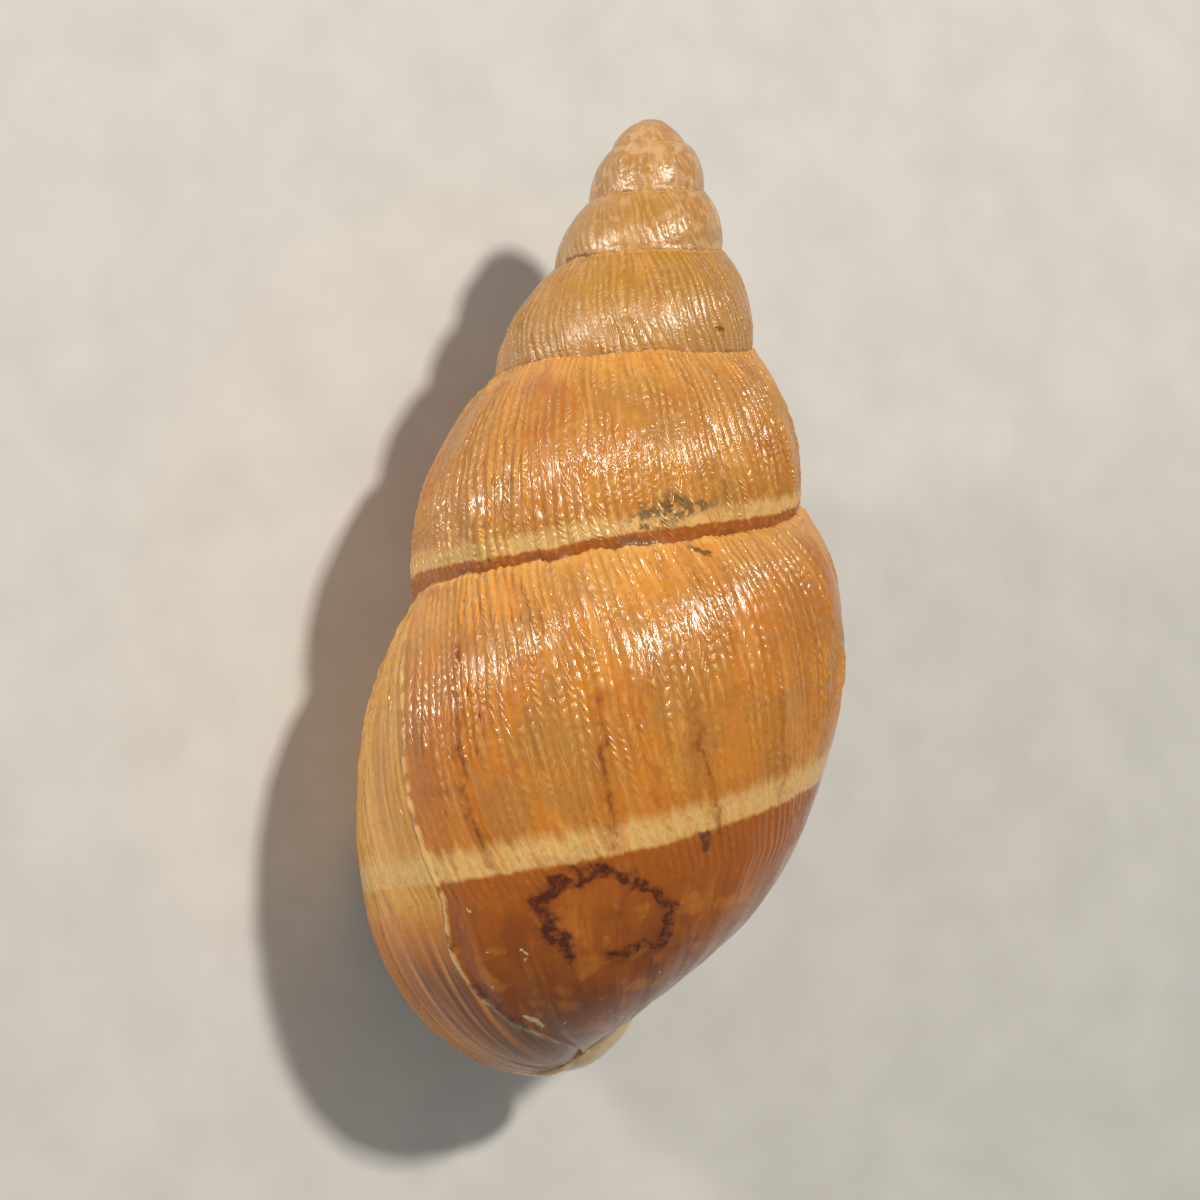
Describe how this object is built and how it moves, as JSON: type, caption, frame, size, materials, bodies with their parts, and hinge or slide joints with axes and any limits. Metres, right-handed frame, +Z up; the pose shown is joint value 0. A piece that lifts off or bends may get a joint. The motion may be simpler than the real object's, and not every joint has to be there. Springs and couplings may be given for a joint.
{
  "type": "land snail shell",
  "caption": "Slender ovate land snail shell with right-handed whorls, a thin outer lip and a cream columellar lip, lying on its aperture.",
  "frame": {"origin": "on the table, under the middle of the shell's bounding box", "axes": "+Y along the coiling axis towards the apex, +Z up, -X towards the outer lip"},
  "size_m": [0.0146, 0.0298, 0.0137],
  "materials": {
    "shell": "natural shell, satin to glossy, orange tan with a paler apex, a cream band and a reddish brown base"
  },
  "bodies": {
    "root": {"shell": "shell"}
  },
  "joints": []
}
